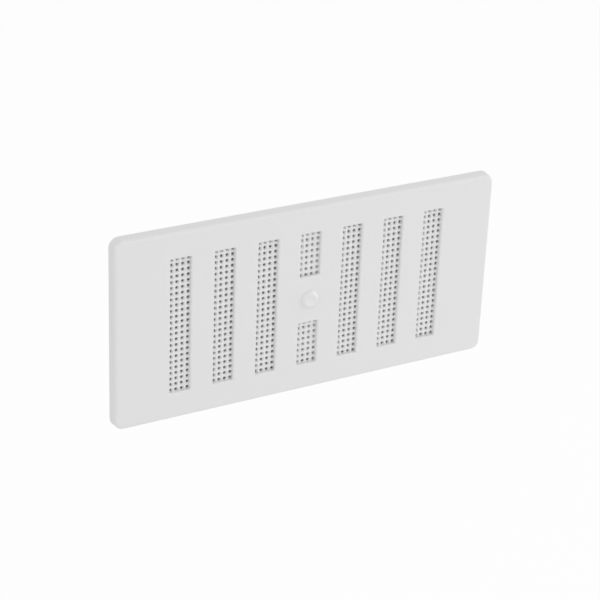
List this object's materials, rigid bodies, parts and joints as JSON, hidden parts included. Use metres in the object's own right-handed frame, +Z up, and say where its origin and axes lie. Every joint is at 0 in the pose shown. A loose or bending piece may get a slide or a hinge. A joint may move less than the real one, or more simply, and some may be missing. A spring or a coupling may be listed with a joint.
{
  "type": "hit and miss vent",
  "caption": "Rectangular wall vent with tall fly-screened windows, a central quarter-turn knob and a sliding slotted shutter that opens or closes the air path.",
  "frame": {"origin": "centre of the four wall-screw holes in the plane of the wall, on the knob's axis", "axes": "+X along the width, to the right as seen from the room; +Y into the wall, so the vent faces -Y; +Z up"},
  "size_m": [0.2284, 0.0163, 0.1088],
  "materials": {
    "cover": "white moulded plastic with a satin sheen",
    "screen": "white moulded mesh",
    "knob": "white moulded plastic with a satin sheen",
    "crank": "natural white moulded plastic",
    "screw": "zinc-plated steel",
    "shutter": "white moulded plastic, matt",
    "frame": "white moulded plastic, matt",
    "rail": "natural white moulded plastic"
  },
  "bodies": {
    "housing": {"cover": "cover", "screen_1": "screen", "screen_2": "screen", "screen_3": "screen", "screen_4_upper": "screen", "screen_4_lower": "screen", "screen_5": "screen", "screen_6": "screen", "screen_7": "screen", "back_frame": "frame", "upper_rail": "rail", "lower_rail": "rail"},
    "shutter": {"shutter": "shutter"},
    "control": {"knob": "knob", "crank": "crank", "crank_screw": "screw"}
  },
  "joints": [
    {"name": "shutter_slide", "type": "slide", "parent": "housing", "child": "shutter", "axis": [1, 0, 0], "range_m": [0, 0.0127]},
    {"name": "knob_turn", "type": "hinge", "parent": "housing", "child": "control", "pos_m": [0, 0, 0], "axis": [0, 1, 0], "range_deg": [0, 90]}
  ],
  "couplings": [
    {"joint": "knob_turn", "follows": "shutter_slide", "rad_per_m": 123.6}
  ]
}
